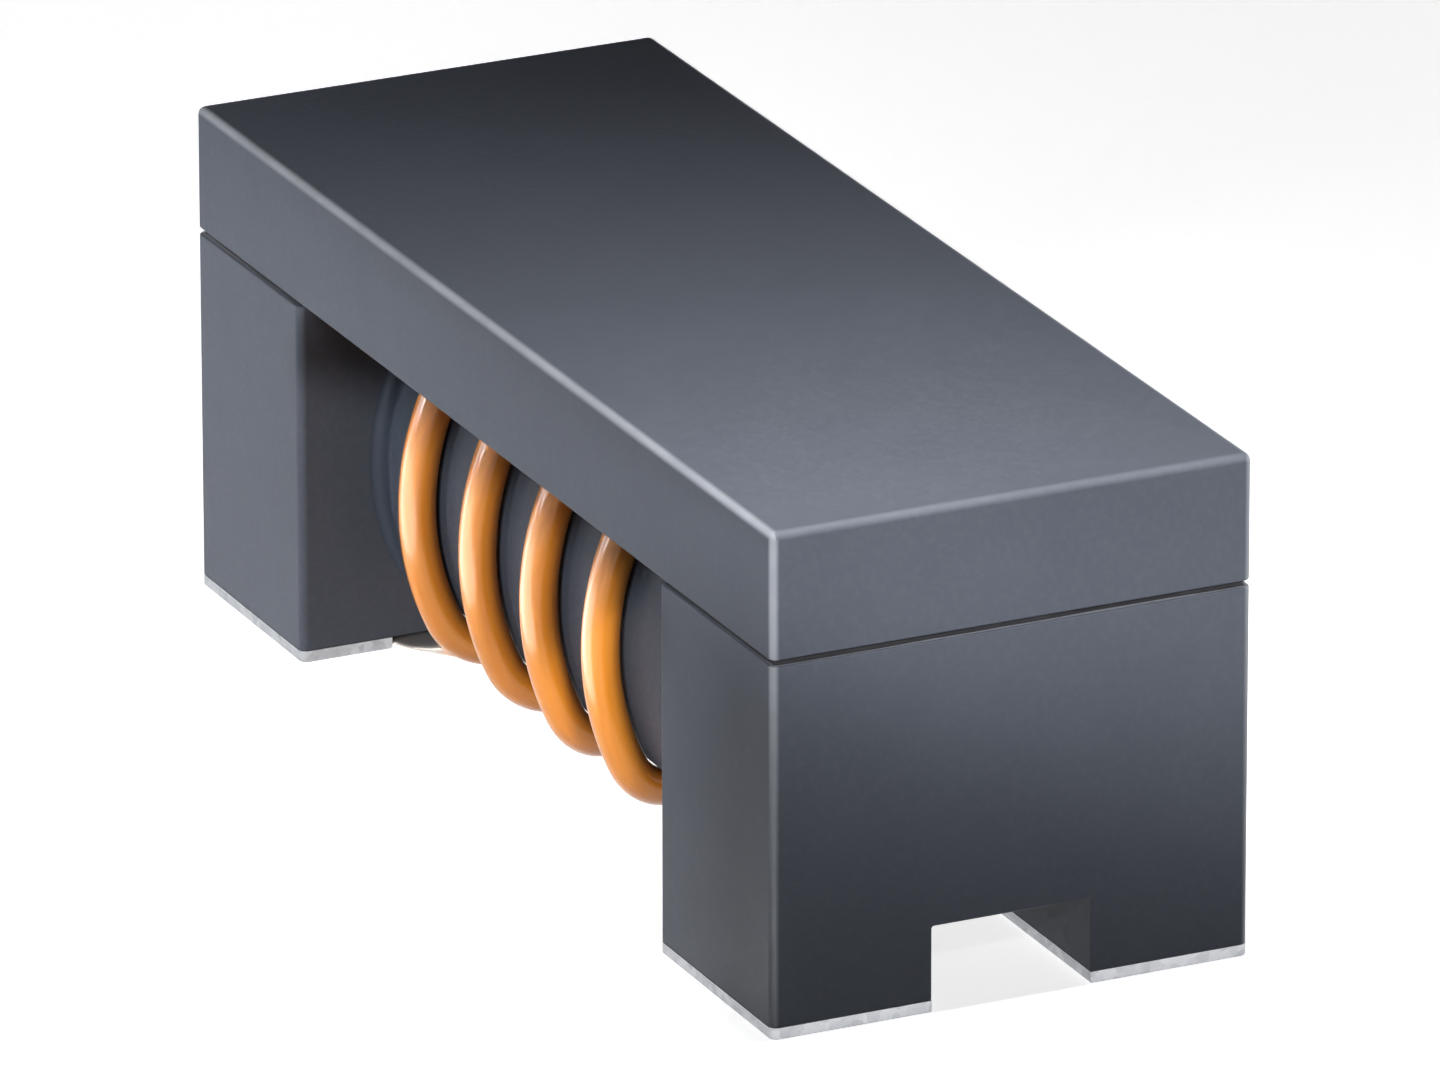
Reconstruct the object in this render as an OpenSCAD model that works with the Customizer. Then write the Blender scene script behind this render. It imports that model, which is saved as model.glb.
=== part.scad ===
// Surface-mount common mode choke.
// A ferrite drum core stands on four feet, with a flat ferrite cover plate bonded across its two flanges.
// Two wires are wound side by side on the bar between the flanges, and each wire's ends are pressed
// flat into the tinned terminals under the feet.
//
// X runs along the part, Y across it and Z up. The origin is at the centre of the board face, so the
// undersides of the terminals lie on Z = 0. Sizes are in millimetres.

/* [Overall] */
// Length over the two end faces
part_length = 3.2; // [2.9:0.05:4.5]
// Width over the two long sides
part_width = 1.2; // [1.1:0.02:1.8]

/* [Drum core] */
// Length of each end flange along the part
flange_length = 0.595; // [0.45:0.005:0.7]
// Height of the flanges from the foot faces to the bonded top faces
flange_height = 0.87; // [0.75:0.01:1.4]
// Width of each foot across the part
foot_width = 0.4; // [0.34:0.01:0.45]
// Height of the notch between the two feet of a flange
notch_height = 0.18; // [0.08:0.01:0.3]
// Radius in the notch's two upper corners
notch_radius = 0.006; // [0.004:0.001:0.06]
// Radius on the upright edges of the core and on the outer edges of the cover plate
edge_radius = 0.02; // [0.005:0.005:0.04]
// How far the bar's two flanks bow out between its top and its bottom
bar_bow = 0.095; // [0.04:0.005:0.15]
// Radius along the bar's four long edges
bar_edge_radius = 0.11; // [0.06:0.01:0.15]
// Radius where the bar's flanks run out into the flanges
bar_fillet = 0.03; // [0.02:0.01:0.1]

/* [Cover plate] */
// Thickness of the cover plate
plate_thickness = 0.305; // [0.2:0.005:0.5]
// Thickness of the adhesive between a flange and the cover plate
bond_thickness = 0.015; // [0.01:0.005:0.04]
// How far the adhesive stops inside the flange's edges
bond_inset = 0.012; // [0.005:0.001:0.05]

/* [Windings] */
// Diameter of the enamelled wire
wire_diameter = 0.09; // [0.05:0.005:0.12]
// Turns in each of the two windings
turns = 2; // [1:1:2]
// Distance between neighbouring turns along the bar
turn_spacing = 0.342; // [0.15:0.002:0.38]
// How far the windings' outsides lie inside the part's long sides
winding_inset = 0.115; // [0.05:0.005:0.2]
// Free height between the windings and the cover plate
winding_headroom = 0.01; // [0.005:0.005:0.06]
// Free height between the windings and the board face
winding_standoff = 0.055; // [0.02:0.005:0.1]
// Clearance between a wire and the bar that it is wound on
seat_gap = 0.003; // [0.002:0.001:0.01]

/* [Terminals] */
// Thickness of the tinned terminals
tin_thickness = 0.03; // [0.02:0.005:0.06]
// Length of wire pressed flat under a foot
tail_length = 0.38; // [0.2:0.01:0.42]
// Width of the pressed wire
tail_width = 0.13; // [0.12:0.01:0.16]
// Distance from a foot's notch side to the middle of the pressed wire, at the foot's inner face
tail_offset = 0.09; // [0.085:0.005:0.14]
// Angle between the pressed wire and the part's length, spreading towards the ends
tail_angle = 25; // [5:1:30]
// Clearance around the pressed wire in its terminal
tail_gap = 0.002; // [0.001:0.001:0.004]

/* [Hidden] */

ferrite_colour = [0.36, 0.38, 0.42];
bond_colour = [0.10, 0.10, 0.11];
wire_colour = [0.92, 0.56, 0.24];
tin_colour = [0.86, 0.87, 0.88];

// Heights of the stack, from the board up
foot_face = tin_thickness;
flange_top = foot_face + flange_height;
plate_bottom = flange_top + bond_thickness;

// Places of the flanges along X and the notch across Y
end_face = part_length / 2;
inner_face = end_face - flange_length;
flange_middle = (end_face + inner_face) / 2;
notch_width = part_width - 2 * foot_width;

// The bar's section: two bowed flanks, a flat top and bottom, and four round edges
wire_cover = wire_diameter + seat_gap;
bar_top = plate_bottom - winding_headroom - wire_cover;
bar_bottom = winding_standoff + wire_cover;
bar_middle = (bar_top + bar_bottom) / 2;
half_height = (bar_top - bar_bottom) / 2;
half_width = part_width / 2 - winding_inset - wire_cover;
flank_radius = (half_height * half_height + bar_bow * bar_bow) / (2 * bar_bow);
flank_offset = flank_radius - half_width;
corner_z = half_height - bar_edge_radius;
flank_angle = asin(corner_z / (flank_radius - bar_edge_radius));
corner_y = (flank_radius - bar_edge_radius) * cos(flank_angle) - flank_offset;

// The wire's path round the bar
wire_radius = wire_diameter / 2;
wire_offset = wire_radius + seat_gap;
half_turns = 2 * turns;
corner_run = (bar_edge_radius + wire_offset) * (90 - flank_angle) * PI / 180;
flat_run = 2 * corner_y;
run = 2 * corner_run + flat_run;
under_z = bar_bottom - wire_offset;

// The pressed ends of a wire: never thicker than half the wire, and held up against the foot
tail_half = min(tin_thickness / 2 - tail_gap, wire_radius / 2);
tail_z = foot_face - tail_gap - tail_half;
tail_root = notch_width / 2 + tail_offset;
tail_heading = [cos(tail_angle), sin(tail_angle), 0];
// How strongly a lead holds its direction at both ends, as a share of the distance it spans
lead_pull = 0.45;

// Facets of the wound shapes
flank_steps = 8;
corner_steps = 5;
flat_steps = 5;
lead_steps = 16;
fillet_steps = 5;
wire_sides = 12;
arc_sides = 48;

function mix(a, b, t) = a + (b - a) * t;
function ease(t) = t * t * (3 - 2 * t);
function unit(v) = v / norm(v);
function clamp(v, low, high) = max(low, min(high, v));
function reverse(list) = [for (i = [len(list) - 1 : -1 : 0]) list[i]];

// Points on an arc in the YZ plane
function arc(centre, radius, from, to, steps) = [
    for (i = [0 : steps]) let (a = mix(from, to, i / steps)) centre + radius * [cos(a), sin(a)]
];

// Points between two ends of a smooth lead that leaves and arrives along the given headings
function lead(start, start_heading, finish, finish_heading) =
    let (
        pull = lead_pull * norm(finish - start),
        b = start + pull * start_heading,
        c = finish - pull * finish_heading
    )
    [for (i = [1 : lead_steps - 1])
        let (t = i / lead_steps, s = 1 - t)
        pow(s, 3) * start + 3 * t * s * s * b + 3 * t * t * s * c + pow(t, 3) * finish];

// The flank on the -Y side, from its foot up, and the edge above it, both at a distance outside the bar
function flank(out) =
    arc([flank_offset, 0], flank_radius + out, 180 + flank_angle, 180 - flank_angle, flank_steps);
function corner(out) =
    arc([-corner_y, corner_z], bar_edge_radius + out, 180 - flank_angle, 90, corner_steps);

// Half of the bar's section: the -Y flank and the two top edges. The other half is the same, turned over.
function half_section() =
    let (edge = corner(0))
    concat(
        flank(0),
        [for (i = [1 : corner_steps]) edge[i]],
        [for (i = [corner_steps : -1 : 1]) [-edge[i][0], edge[i][1]]]
    );

// The wire over the top of the bar from the -Y flank to the +Y flank, as [share of the way, y, z]
function over_run() =
    let (edge = corner(wire_offset))
    concat(
        [for (i = [1 : corner_steps]) [corner_run * i / corner_steps / run, edge[i][0], edge[i][1]]],
        [for (i = [1 : flat_steps - 1])
            let (t = i / flat_steps)
            [(corner_run + flat_run * t) / run, mix(-corner_y, corner_y, t), half_height + wire_offset]],
        [for (i = [corner_steps : -1 : 1]) [1 - corner_run * i / corner_steps / run, -edge[i][0], edge[i][1]]]
    );

// Half-turns go up the -Y flank and over, then down the +Y flank and under, each one spacing further along
function turn_x(k) = (k - turns) * turn_spacing;
function turn_side(k) = k % 2 == 0 ? 1 : -1;
function turn_flank(k) = [
    for (p = flank(wire_offset)) [turn_x(k), turn_side(k) * p[0], bar_middle + turn_side(k) * p[1]]
];
function turn_run(k) = [
    for (p = over_run())
        [turn_x(k) + turn_spacing * ease(p[0]), turn_side(k) * p[1], bar_middle + turn_side(k) * p[2]]
];

// The bottom edge that a lead passes below a flank, from the bar's underside outwards
function lead_edge(k, side) = [
    for (p = reverse(corner(wire_offset))) [turn_x(k), side * p[0], bar_middle - p[1]]
];

// A wire's pressed end under a foot on the -Y side, from its tip to the foot's inner face
function tail(end) =
    let (root = [end * inner_face, -tail_root, tail_z])
    [root + tail_length * [end * tail_heading[0], -tail_heading[1], 0], root];

// The lead that comes off a foot and goes under the bar to the first flank, and the one that ends the wire
function lead_in() =
    lead(tail(-1)[1], tail_heading, lead_edge(0, 1)[0], [0, -1, 0]);
function lead_out() =
    lead(lead_edge(half_turns - 1, -1)[0], [0, -1, 0], tail(1)[1], [tail_heading[0], -tail_heading[1], 0]);

// The edges' last points are the flanks' first ones, so the edges leave them out
function without_last(list) = [for (i = [0 : len(list) - 2]) list[i]];
function winding_path() = concat(
    tail(-1),
    lead_in(),
    without_last(lead_edge(0, 1)),
    [for (k = [0 : half_turns - 2]) each concat(turn_flank(k), turn_run(k))],
    turn_flank(half_turns - 1),
    reverse(without_last(lead_edge(half_turns - 1, -1))),
    lead_out(),
    reverse(tail(1))
);

// Directions across a path that turn no more than the path does
function across(along) =
    let (last = len(along) - 1)
    [for (
        i = 0, n = unit(cross([0, 0, 1], along[0]));
        i <= last;
        i = i + 1, n = i > last ? n : unit(n - (n * along[i]) * along[i])
    ) n];

// Rings of a wire along a path. Near the board the wire is pressed flat: its underside stays level
// and it spreads sideways, until there is room for it to be round.
function wire_rings(path) =
    let (
        last = len(path) - 1,
        along = [for (i = [0 : last]) unit(path[min(i + 1, last)] - path[max(i - 1, 0)])],
        side = across(along)
    )
    [for (i = [0 : last])
        let (
            rise = clamp((path[i][2] - tail_z) / (wire_radius - tail_half), 0, 1),
            tall = mix(tail_half, wire_radius, rise),
            wide = mix(tail_width / 2, wire_radius, rise),
            up = cross(along[i], side[i])
        )
        [for (j = [0 : wire_sides - 1])
            let (a = 360 * j / wire_sides, o = side[i] * cos(a) + up * sin(a))
            path[i] + [o[0] * wide, o[1] * wide, o[2] * tall]]];

// Closed skin through rings of points, each running anticlockwise seen from the last ring's side
module skin(rings) {
    sides = len(rings[0]);
    last = len(rings) - 1;
    walls = [
        for (i = [0 : last - 1], j = [0 : sides - 1])
            let (k = (j + 1) % sides, a = i * sides, b = a + sides)
            each [[a + j, b + j, b + k], [a + j, b + k, a + k]]
    ];
    first_cap = [for (j = [0 : sides - 1]) j];
    last_cap = [for (j = [sides - 1 : -1 : 0]) last * sides + j];
    polyhedron(points = [for (ring = rings) each ring], faces = concat([first_cap], walls, [last_cap]));
}

// Rectangle with round corners, centred
module rounded_outline(length, width, radius) {
    square([length - 2 * radius, width], center = true);
    square([length, width - 2 * radius], center = true);
    for (x = [-1, 1], y = [-1, 1]) {
        translate([x * (length / 2 - radius), y * (width / 2 - radius)])
            circle(r = radius, $fn = arc_sides);
    }
}

// Upright profile with a square foot and two round upper corners, standing on its base line
module arched_outline(width, height, radius) {
    translate([-width / 2, 0])
        square([width, height - radius]);
    translate([radius - width / 2, 0])
        square([width - 2 * radius, height]);
    for (x = [-1, 1]) {
        translate([x * (width / 2 - radius), height - radius])
            circle(r = radius, $fn = arc_sides);
    }
}

// Outline of the flange at one end, seen from above
module flange_outline(end) {
    translate([end * flange_middle, 0])
        rounded_outline(flange_length, part_width, edge_radius);
}

// The notch seen from the end, drawn down past the foot faces so that it cuts right through
module notch_outline() {
    translate([0, -foot_face])
        arched_outline(notch_width, foot_face + notch_height, notch_radius);
}

// Where a pressed wire lies, open at the foot's inner face
module tail_outline(end, side) {
    reach = tail_length + tail_gap;
    translate([end * inner_face, side * tail_root])
        rotate(end * side * tail_angle)
            translate([end * (reach - tail_width) / 2, 0])
                square([reach + tail_width, tail_width + 2 * tail_gap], center = true);
}

// Extrudes an outline drawn in Y and Z along X, centred
module along_x(length) {
    rotate([90, 0, 90])
        linear_extrude(length, center = true)
            children();
}

// The bar with flanks that run out into the flanges, reaching into them far enough to join
module bar() {
    section = concat(half_section(), -half_section());
    quarter = [for (i = [0 : fillet_steps]) 90 * (1 - i / fillet_steps)];
    run_out = concat(
        [[flange_middle, bar_fillet]],
        [for (a = quarter) [inner_face - bar_fillet * (1 - sin(a)), bar_fillet * (1 - cos(a))]]
    );
    stations = concat(run_out, [for (s = reverse(run_out)) [-s[0], s[1]]]);
    skin([
        for (s = stations)
            [for (p = section) [s[0], p[0] * (1 + s[1] / half_width), bar_middle + p[1]]]
    ]);
}

module drum_core() {
    color(ferrite_colour)
        difference() {
            union() {
                bar();
                for (end = [-1, 1]) {
                    translate([0, 0, foot_face])
                        linear_extrude(flange_height)
                            flange_outline(end);
                }
            }
            for (end = [-1, 1]) {
                translate([end * end_face, 0, foot_face])
                    along_x(2 * flange_length)
                        notch_outline();
            }
        }
}

module cover_plate() {
    color(ferrite_colour)
        translate([0, 0, plate_bottom])
            intersection() {
                linear_extrude(plate_thickness)
                    rounded_outline(part_length, part_width, edge_radius);
                along_x(part_length)
                    arched_outline(part_width, plate_thickness, edge_radius);
                rotate([0, 0, 90])
                    along_x(part_width)
                        arched_outline(part_length, plate_thickness, edge_radius);
            }
}

module cover_bond(end) {
    color(bond_colour)
        translate([end * flange_middle, 0, flange_top])
            linear_extrude(bond_thickness)
                rounded_outline(flange_length - 2 * bond_inset, part_width - 2 * bond_inset, edge_radius);
}

// The two windings are alike, one turned about the upright axis from the other
module winding(turned) {
    color(wire_colour)
        rotate([0, 0, turned])
            skin(wire_rings(winding_path()));
}

// A terminal follows the foot above it and is open where the pressed wire lies
module terminal(end, side) {
    color(tin_colour)
        linear_extrude(tin_thickness)
            difference() {
                intersection() {
                    flange_outline(end);
                    translate([end * flange_middle, side * (part_width - foot_width) / 2])
                        square([flange_length, foot_width], center = true);
                }
                tail_outline(end, side);
            }
}

drum_core();
cover_plate();
cover_bond(-1);  // cover_bond_1
cover_bond(1);  // cover_bond_2
winding(0);  // winding_1
winding(180);  // winding_2
terminal(-1, -1);  // terminal_1
terminal(1, -1);  // terminal_2
terminal(1, 1);  // terminal_3
terminal(-1, 1);  // terminal_4
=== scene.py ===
import math
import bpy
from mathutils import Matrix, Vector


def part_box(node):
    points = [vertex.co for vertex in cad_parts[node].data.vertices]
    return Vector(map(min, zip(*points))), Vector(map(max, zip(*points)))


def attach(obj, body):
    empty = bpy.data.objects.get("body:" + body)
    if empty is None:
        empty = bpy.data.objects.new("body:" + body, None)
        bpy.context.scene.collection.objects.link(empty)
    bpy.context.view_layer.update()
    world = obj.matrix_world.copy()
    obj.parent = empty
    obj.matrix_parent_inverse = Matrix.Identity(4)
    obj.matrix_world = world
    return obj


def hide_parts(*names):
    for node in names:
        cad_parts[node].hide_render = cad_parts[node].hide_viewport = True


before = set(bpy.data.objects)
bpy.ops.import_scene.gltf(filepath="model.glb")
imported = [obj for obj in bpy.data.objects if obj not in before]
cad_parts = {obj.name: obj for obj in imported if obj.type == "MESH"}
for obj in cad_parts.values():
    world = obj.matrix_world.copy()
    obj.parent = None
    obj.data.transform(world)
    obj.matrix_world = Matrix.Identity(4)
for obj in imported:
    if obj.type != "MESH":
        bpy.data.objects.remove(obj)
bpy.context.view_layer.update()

from types import SimpleNamespace

import bmesh
import bpy
from bpy.props import FloatProperty, FloatVectorProperty, IntProperty, PointerProperty
from mathutils import Matrix, Vector

bl_info = {
    "name": "Common Mode Choke",
    "version": (1, 0, 0),
    "blender": (4, 5, 0),
    "location": "View3D > Sidebar > Choke",
    "description": "Dresses a surface-mount common mode choke in ferrite, enamelled wire and tin",
    "category": "Object",
}

# Pieces are drawn in millimetres and brought to metres as their last step
MM = 0.001

# How finely curved shapes are drawn
FLANK_STEPS = 28
EDGE_STEPS = 12
FLAT_STEPS = 12
LEAD_STEPS = 48
FILLET_STEPS = 10
ROUND_STEPS = 5
BREAK_STEPS = 3
BOND_STEPS = 240

# Turning angle from which two faces meet in a crisp edge
CRISP = math.radians(50)

# Millimetres within which two places count as the same
SAME_PLACE = 1e-6

# The four corners seen from above, in order, as signs of X and Y
CORNERS = ((-1, -1), (1, -1), (1, 1), (-1, 1))

# How much of the polish and painted highlight the edges along X, along Y and upright ones take, set by which
# edges catch the light
EDGE_WEAR_AND_HIGHLIGHT = (0.9, 0.14, 1.0)

# Heights in millimetres that lie past the part, where no edge gets wear and painted highlight
FAR_BELOW, FAR_ABOVE = -1.0, 2.0

# Millimetres that keep the flanges' faces out of the bar's painted shade
BAR_SHADE_MARGIN = 1e-4

# Waves in the adhesive's rim, as a count round it, a share of the wave's size and a phase
BOND_WAVES = ((3, 0.5, 0.2), (7, 0.3, 1.9), (17, 0.2, 4.1))

# Hollow of the adhesive's rim, as a share of its thickness and a depth in millimetres
BOND_HOLLOW = ((0.0, 0.0), (0.25, 0.004), (0.5, 0.006), (0.75, 0.004), (1.0, 0.0))

# How firmly a lead keeps its headings, as a share of the way that it spans
LEAD_PULL = 0.45

# Patterns of the finishes, in counts to a metre
FERRITE_PATCHES, FERRITE_GRAIN = 5200.0, 52000.0
ADHESIVE_CLOUD = 30000.0
TIN_CRYSTALS, TIN_GRAIN = 42000.0, 60000.0

# Patterns of the wire, which follow it, in counts to a millimetre
WIRE_STREAKS, WIRE_SPECKS = 3.0, 26.0

# How far the wire's pattern changes across its section, beside one millimetre along it
WIRE_ACROSS = (0.9, 0.9, 0.9)

# Depth of each finish's relief, in metres
FERRITE_RELIEF, ADHESIVE_RELIEF, WIRE_RELIEF, TIN_RELIEF = 0.3e-6, 0.8e-6, 0.15e-6, 0.5e-6

# How much paler the adhesive is where it is thin
ADHESIVE_PALER = 2.2

PLATE_LOW, PLATE_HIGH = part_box("cover_plate")
CORE_LOW, CORE_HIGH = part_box("drum_core")
FOOT_LOW, FOOT_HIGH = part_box("terminal_3")


def length(name, description, metres):
    """A size that a user may change, in metres."""
    return FloatProperty(
        name=name, description=description, default=metres, min=0.0, precision=6, unit="LENGTH"
    )


def colour(name, description, red, green, blue):
    """A finish colour that a user may change, in linear light."""
    return FloatVectorProperty(
        name=name, description=description, default=(red, green, blue), min=0.0, max=1.0, subtype="COLOR"
    )


def factor(name, description, value):
    """A share from 0 to 1 that a user may change."""
    return FloatProperty(name=name, description=description, default=value, min=0.0, max=1.0)


def angle(name, description, degrees):
    """An angle that a user may change."""
    return FloatProperty(
        name=name, description=description, default=math.radians(degrees), subtype="ANGLE"
    )


class ChokeCore(bpy.types.PropertyGroup):
    """Sizes of the drum core."""

    part_length: length("Length", "Length over the two end faces", CORE_HIGH.x - CORE_LOW.x)
    part_width: length("Width", "Width over the two long sides", CORE_HIGH.y - CORE_LOW.y)
    foot_face: length("Foot face", "Height of the feet above the board", CORE_LOW.z)
    flange_top: length("Flange top", "Height of the flanges above the board", CORE_HIGH.z)
    flange_length: length("Flange length", "Length of an end flange", FOOT_HIGH.x - FOOT_LOW.x)
    foot_width: length("Foot width", "Width of each foot", FOOT_HIGH.y - FOOT_LOW.y)
    notch_height: length("Notch height", "Height of the notch between two feet", 0.18 * MM)
    notch_radius: length("Notch radius", "Radius in the notch's upper corners", 0.006 * MM)
    edge_radius: length("Edge radius", "Radius on the upright edges", 0.02 * MM)
    edge_break: length("Edge break", "Small radius on the pressed edges", 0.004 * MM)
    bar_top: length("Bar top", "Height of the bar's top", 0.812 * MM)
    bar_bottom: length("Bar bottom", "Height of the bar's underside", 0.148 * MM)
    bar_half_width: length("Bar half width", "Half of the bar's width across its bowed flanks", 0.392 * MM)
    bar_bow: length("Bar bow", "How far the bar's flanks bow out", 0.095 * MM)
    bar_edge_radius: length("Bar edge radius", "Radius along the bar's four long edges", 0.11 * MM)
    bar_fillet: length("Bar fillet", "Radius where the flanks run out into the flanges", 0.03 * MM)


class ChokeCover(bpy.types.PropertyGroup):
    """Sizes of the cover plate and its two adhesive layers."""

    bottom: length("Bottom", "Height of the plate's underside", PLATE_LOW.z)
    top: length("Top", "Height of the plate's top", PLATE_HIGH.z)
    edge_radius: length("Edge radius", "Radius on the plate's upper and upright edges", 0.02 * MM)
    edge_break: length("Edge break", "Small radius on the plate's lower edges", 0.004 * MM)
    bond_inset: length("Bond inset", "How far the adhesive stops inside the flange", 0.012 * MM)
    bond_wave: length("Bond wave", "How unevenly the adhesive has spread", 0.004 * MM)


class ChokeWinding(bpy.types.PropertyGroup):
    """Sizes of the two wire windings."""

    diameter: length("Wire diameter", "Diameter over the enamel", 0.09 * MM)
    seat_gap: length("Seat gap", "Clearance between the wire and the bar", 0.003 * MM)
    spacing: length("Turn spacing", "Distance between neighbouring turns", 0.342 * MM)
    tail_length: length("Tail length", "Length of wire pressed flat under a foot", 0.38 * MM)
    tail_width: length("Tail width", "Width of the pressed wire", 0.13 * MM)
    tail_thickness: length("Tail thickness", "Thickness of the pressed wire", 0.026 * MM)
    tail_height: length("Tail height", "Height of the pressed wire's middle", 0.015 * MM)
    tail_root: length("Tail root", "Distance from the centre line to the pressed wire", 0.29 * MM)
    tail_angle: angle("Tail angle", "Angle between the pressed wire and the part's length", 25)
    turns: IntProperty(name="Turns", description="Turns in each winding", default=2, min=1, max=2)
    sides: IntProperty(name="Sides", description="Faces round the wire", default=28, min=8, max=64)


class ChokeTerminal(bpy.types.PropertyGroup):
    """Sizes of the four tinned terminals."""

    thickness: length("Thickness", "Thickness of the tinned layer", FOOT_HIGH.z - FOOT_LOW.z)
    tail_gap: length("Tail gap", "Clearance round the pressed wire", 0.002 * MM)
    lower_edge: length("Lower edge", "Radius along the terminal's lower edge", 0.007 * MM)


class ChokeFinish(bpy.types.PropertyGroup):
    """Colours of the finishes."""

    ferrite: colour("Ferrite", "Fired ferrite", 0.102, 0.113, 0.139)
    ferrite_shade: colour("Ferrite shade", "Darker patches in the fired ferrite", 0.090, 0.100, 0.125)
    # Pale edges: partly wear from tumbling, partly painted highlight; the grain's pale specks take this
    # colour too
    ferrite_edge: colour("Ferrite edge", "Edges polished by tumbling", 0.36, 0.375, 0.41)
    # Darker colour of the bar between the flanges: painted shade where the wires and the cover hide the bar
    ferrite_bar: colour("Ferrite bar", "Skin of the bar, which is never ground", 0.058, 0.071, 0.096)
    adhesive: colour("Adhesive", "Cured adhesive under the cover", 0.012, 0.012, 0.014)
    enamel: colour("Enamel", "Enamelled copper wire", 0.97, 0.345, 0.034)
    enamel_shade: colour("Enamel shade", "Thicker enamel on the wire", 0.92, 0.295, 0.022)
    bare_wire: colour("Bare wire", "Wire that was pressed and tinned", 0.70, 0.60, 0.50)
    tin: colour("Tin", "Tinned terminals", 0.50, 0.51, 0.53)
    tin_shade: colour("Tin shade", "Duller grains of the tin", 0.36, 0.37, 0.39)


class ChokeStage(bpy.types.PropertyGroup):
    """Camera, floor and light."""

    azimuth: angle("Azimuth", "Camera's direction round the part", 64.821)
    elevation: angle("Elevation", "Camera's height angle", 20.733)
    roll: angle("Roll", "Camera's roll", -0.088)
    distance: length("Distance", "From the camera to the point that it looks at", 40.005 * MM)
    aim: FloatVectorProperty(
        name="Aim",
        description="Point that the camera looks at",
        default=(-0.1579 * MM, 0.1001 * MM, 0.4917 * MM),
        subtype="TRANSLATION",
        unit="LENGTH",
        precision=6,
    )
    lens: FloatProperty(name="Lens", description="Focal length in millimetres", default=427.34, min=50.0)
    floor_size: length("Floor size", "Side of the square floor", 0.5)
    floor: colour("Floor", "Colour of the floor", 0.85, 0.85, 0.85)
    floor_bounce: colour("Floor bounce", "Colour of the light that the floor throws back", 0.15, 0.15, 0.15)
    floor_white: factor("Floor white", "White that the floor shows whatever the light", 0.79)
    ambient: factor("Ambient", "Strength of the even light from all round", 0.03)


def own_settings(group):
    """The settings that a group adds to those that every group has."""
    return [item for item in group.bl_rna.properties if item.identifier not in {"rna_type", "name"}]


def in_millimetres(group):
    """A group's sizes as plain numbers, with lengths in millimetres."""
    values = {}
    for item in own_settings(group):
        value = getattr(group, item.identifier)
        values[item.identifier] = value / MM if item.unit == "LENGTH" else value
    return SimpleNamespace(**values)


# Small sums


def mix(a, b, t):
    """The value a share t of the way from a to b."""
    return a + (b - a) * t


def ease(t):
    """A share from 0 to 1 that starts and stops gently."""
    return t * t * (3 - 2 * t)


def clamp(value, low, high):
    """A value held between two limits."""
    return max(low, min(high, value))


def arc(centre, radius, start, finish, steps):
    """Points on an arc in the plane across the part, with angles in radians."""
    angles = [mix(start, finish, i / steps) for i in range(steps + 1)]
    return [(centre[0] + radius * math.cos(a), centre[1] + radius * math.sin(a)) for a in angles]


# Meshes


def new_object(name, data):
    """A new object in the scene, for a mesh, a camera or a lamp."""
    made = bpy.data.objects.new(name, data)
    bpy.context.scene.collection.objects.link(made)
    return made


def mesh_from(bm, name):
    """A mesh with outward faces from a finished bmesh."""
    bmesh.ops.recalc_face_normals(bm, faces=bm.faces)
    mesh = bpy.data.meshes.new(name)
    bm.to_mesh(mesh)
    bm.free()
    return mesh


def loft(rings):
    """A closed bmesh through rings of points, capped at both ends."""
    bm = bmesh.new()
    rows = [[bm.verts.new(p) for p in ring] for ring in rings]
    sides = len(rows[0])
    for a, b in zip(rows, rows[1:]):
        for j in range(sides):
            k = (j + 1) % sides
            bm.faces.new((a[j], a[k], b[k], b[j]))
    bm.faces.new(reversed(rows[0]))
    bm.faces.new(rows[-1])
    return bm


def round_edges(bm, chosen, radius, steps):
    """Rounds the edges for which chosen(edge) holds."""
    edges = [e for e in bm.edges if e.is_manifold and chosen(e)]
    bmesh.ops.bevel(
        bm, geom=edges, offset=radius, offset_type="OFFSET", segments=steps, profile=0.5, affect="EDGES"
    )


def is_crisp(edge):
    """Whether two faces turn sharply at an edge."""
    return edge.calc_face_angle(0.0) > CRISP


def is_upright(edge):
    """Whether an edge runs straight up."""
    a, b = (v.co for v in edge.verts)
    return abs(a.x - b.x) + abs(a.y - b.y) < SAME_PLACE


def at_height(edge, z):
    """Whether an edge lies level at a height."""
    return all(abs(v.co.z - z) < SAME_PLACE for v in edge.verts)


def settle(piece):
    """Makes the result of a piece's modifiers its own mesh."""
    graph = bpy.context.evaluated_depsgraph_get()
    mesh = bpy.data.meshes.new_from_object(
        piece.evaluated_get(graph), preserve_all_data_layers=True, depsgraph=graph
    )
    drawn = piece.data
    piece.modifiers.clear()
    piece.data = mesh
    bpy.data.meshes.remove(drawn)
    return piece


def shade(mesh):
    """Smooth shading that leaves crisp edges crisp."""
    mesh.shade_smooth()
    mesh.set_sharp_from_angle(angle=CRISP)


def smooth(piece):
    """Smooth shading that leaves flat faces flat and crisp edges crisp."""
    shade(piece.data)
    weighted = piece.modifiers.new("Flat faces", "WEIGHTED_NORMAL")
    weighted.mode = "FACE_AREA"
    weighted.keep_sharp = True
    return settle(piece)


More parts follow.
